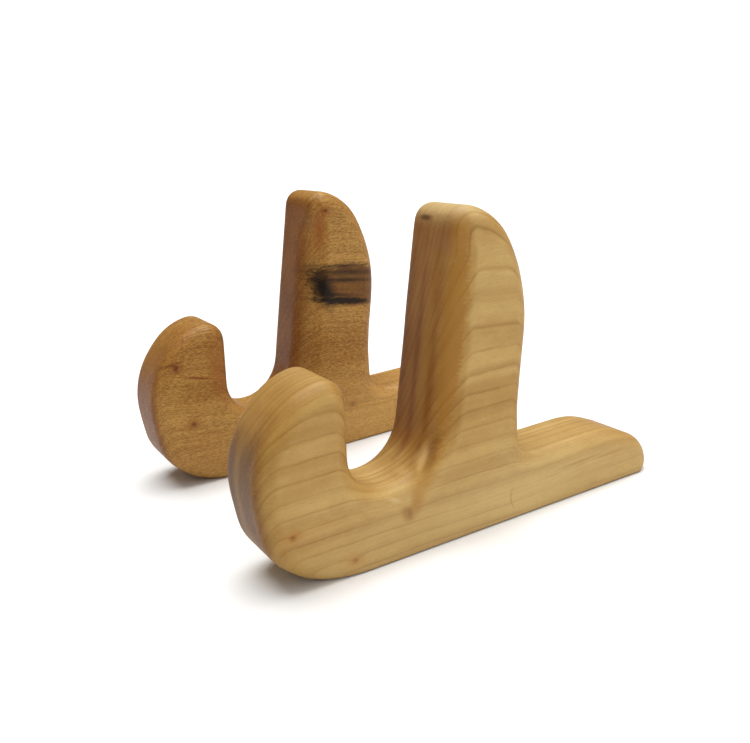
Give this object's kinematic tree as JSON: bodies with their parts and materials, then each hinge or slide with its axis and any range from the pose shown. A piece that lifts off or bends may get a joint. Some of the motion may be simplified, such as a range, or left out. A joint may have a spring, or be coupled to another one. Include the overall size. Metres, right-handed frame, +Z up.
{
  "type": "guitar stand",
  "caption": "Matching solid wood rests, each with a hooked knob, a cradle open upwards, a leaning arm and a low tail, that stand on a floor and hold a guitar by its lower edge.",
  "frame": {"origin": "on the floor, under the middle of the box round both rests", "axes": "+Z up from the soles, -Y towards the knobs in front, +Y towards the tails, +X from the left rest to the right rest"},
  "size_m": [0.1944, 0.2286, 0.1585],
  "materials": {
    "pale_maple": "oiled pale maple with fine growth rings, satin",
    "amber_maple": "oiled amber maple with fine mottle and a dark mineral streak, satin"
  },
  "bodies": {
    "right_rest": {"right_rest": "pale_maple"},
    "left_rest": {"left_rest": "amber_maple"}
  },
  "joints": [
    {"name": "rest_spacing", "type": "slide", "parent": "right_rest", "child": "left_rest", "axis": [-1, 0, 0], "range_m": [-0.1, 0.1]}
  ]
}
